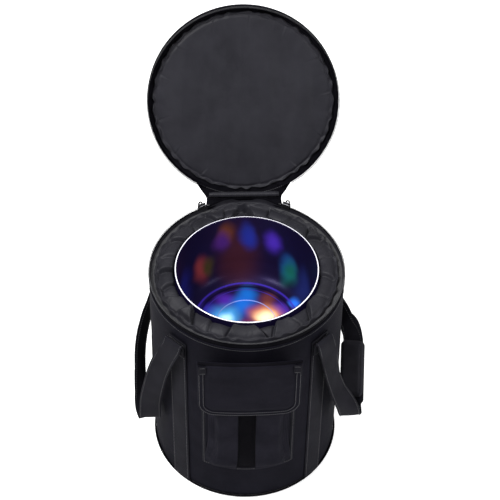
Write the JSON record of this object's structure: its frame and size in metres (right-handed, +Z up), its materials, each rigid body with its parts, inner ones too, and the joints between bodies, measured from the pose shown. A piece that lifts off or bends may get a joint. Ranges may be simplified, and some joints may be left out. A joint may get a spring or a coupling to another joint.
{
  "type": "padded singing bowl bag with crystal bowl",
  "caption": "Round padded carrying bag with an open zipped lid, front pocket and side handles, holding an iridescent crystal singing bowl on a stem.",
  "frame": {"origin": "middle of the bag's base on the surface it stands on", "axes": "+Z up, -Y towards the front pocket, +X to the right seen from the front"},
  "size_m": [0.3451, 0.4397, 0.6128],
  "materials": {
    "nylon": "matt woven polyester",
    "lining": "soft satin lining",
    "webbing": "woven webbing",
    "zip_tape": "woven tape",
    "zip_coil": "moulded coil",
    "slider_metal": "gunmetal plated",
    "pull_cord": "matt rubber",
    "foam": "open cell foam",
    "board": "stiffening board",
    "velcro": "hook and loop",
    "crystal": "iridescent coated quartz",
    "stem_quartz": "clear quartz"
  },
  "bodies": {
    "bag": {"base_panel": "nylon", "base_board": "board", "base_foam": "foam", "outer_shell": "nylon", "wall_foam": "foam", "wall_lining": "lining", "base_piping": "webbing", "lining_collar": "lining", "foam_cradle": "foam", "body_zip_tape": "zip_tape", "body_zip_coil": "zip_coil", "rim_binding": "webbing", "zip_stops": "slider_metal", "hinge_roll": "nylon", "hinge_panel": "nylon", "webbing_front_left": "webbing", "webbing_front_right": "webbing", "webbing_back_left": "webbing", "webbing_back_right": "webbing", "pocket_panel": "nylon", "pocket_gusset": "nylon", "pocket_loop_tape": "velcro"},
    "lid": {"lid_panel": "nylon", "lid_band": "nylon", "lid_foam": "foam", "lid_lining": "lining", "lid_zip_tape": "zip_tape", "lid_zip_coil": "zip_coil", "lid_piping": "webbing", "lid_hinge_flap": "nylon"},
    "slider_left": {"slider_left": "slider_metal"},
    "pull_left": {"pull_left": "pull_cord"},
    "slider_right": {"slider_right": "slider_metal"},
    "pull_right": {"pull_right": "pull_cord"},
    "flap": {"pocket_flap": "nylon", "flap_binding": "webbing", "flap_hook_tape": "velcro", "flap_tabs": "webbing"},
    "handle_left": {"handle_left": "webbing"},
    "handle_right": {"handle_right": "webbing", "grip_pad": "nylon"},
    "grip_flap": {"grip_flap": "nylon", "grip_hook_tape": "velcro"},
    "bowl": {"crystal_bowl": "crystal", "bowl_stem": "stem_quartz"}
  },
  "joints": [
    {"name": "lid_hinge", "type": "hinge", "parent": "bag", "child": "lid", "pos_m": [0, 0.137, 0.369], "axis": [-1, 0, 0], "range_deg": [-119, 0]},
    {"name": "slider_left_travel", "type": "hinge", "parent": "bag", "child": "slider_left", "pos_m": [0, 0, 0.36], "axis": [0, 0, 1], "range_deg": [0, 150]},
    {"name": "pull_left_swing", "type": "hinge", "parent": "slider_left", "child": "pull_left", "pos_m": [-0.06394, 0.12824, 0.3629], "axis": [0.8949, 0.4462, 0], "range_deg": [0, 110]},
    {"name": "slider_right_travel", "type": "hinge", "parent": "bag", "child": "slider_right", "pos_m": [0, 0, 0.36], "axis": [0, 0, -1], "range_deg": [0, 150]},
    {"name": "pull_right_swing", "type": "hinge", "parent": "slider_right", "child": "pull_right", "pos_m": [0.06394, 0.12824, 0.3629], "axis": [0.8949, -0.4462, 0], "range_deg": [0, 110]},
    {"name": "flap_lift", "type": "hinge", "parent": "bag", "child": "flap", "pos_m": [0, -0.1535, 0.332], "axis": [-1, 0, 0], "range_deg": [0, 120]},
    {"name": "handle_left_swing", "type": "hinge", "parent": "bag", "child": "handle_left", "pos_m": [-0.112, 0, 0.325], "axis": [0, 1, 0], "range_deg": [0, 140]},
    {"name": "handle_right_swing", "type": "hinge", "parent": "bag", "child": "handle_right", "pos_m": [0.112, 0, 0.325], "axis": [0, -1, 0], "range_deg": [0, 140]},
    {"name": "grip_opening", "type": "hinge", "parent": "handle_right", "child": "grip_flap", "pos_m": [0.17239, -0.05872, 0.11684], "axis": [0.0366, 0.7014, 0.7118], "range_deg": [0, 110]},
    {"name": "bowl_lift", "type": "slide", "parent": "bag", "child": "bowl", "axis": [0, 0, 1], "range_m": [0, 0.33]}
  ]
}
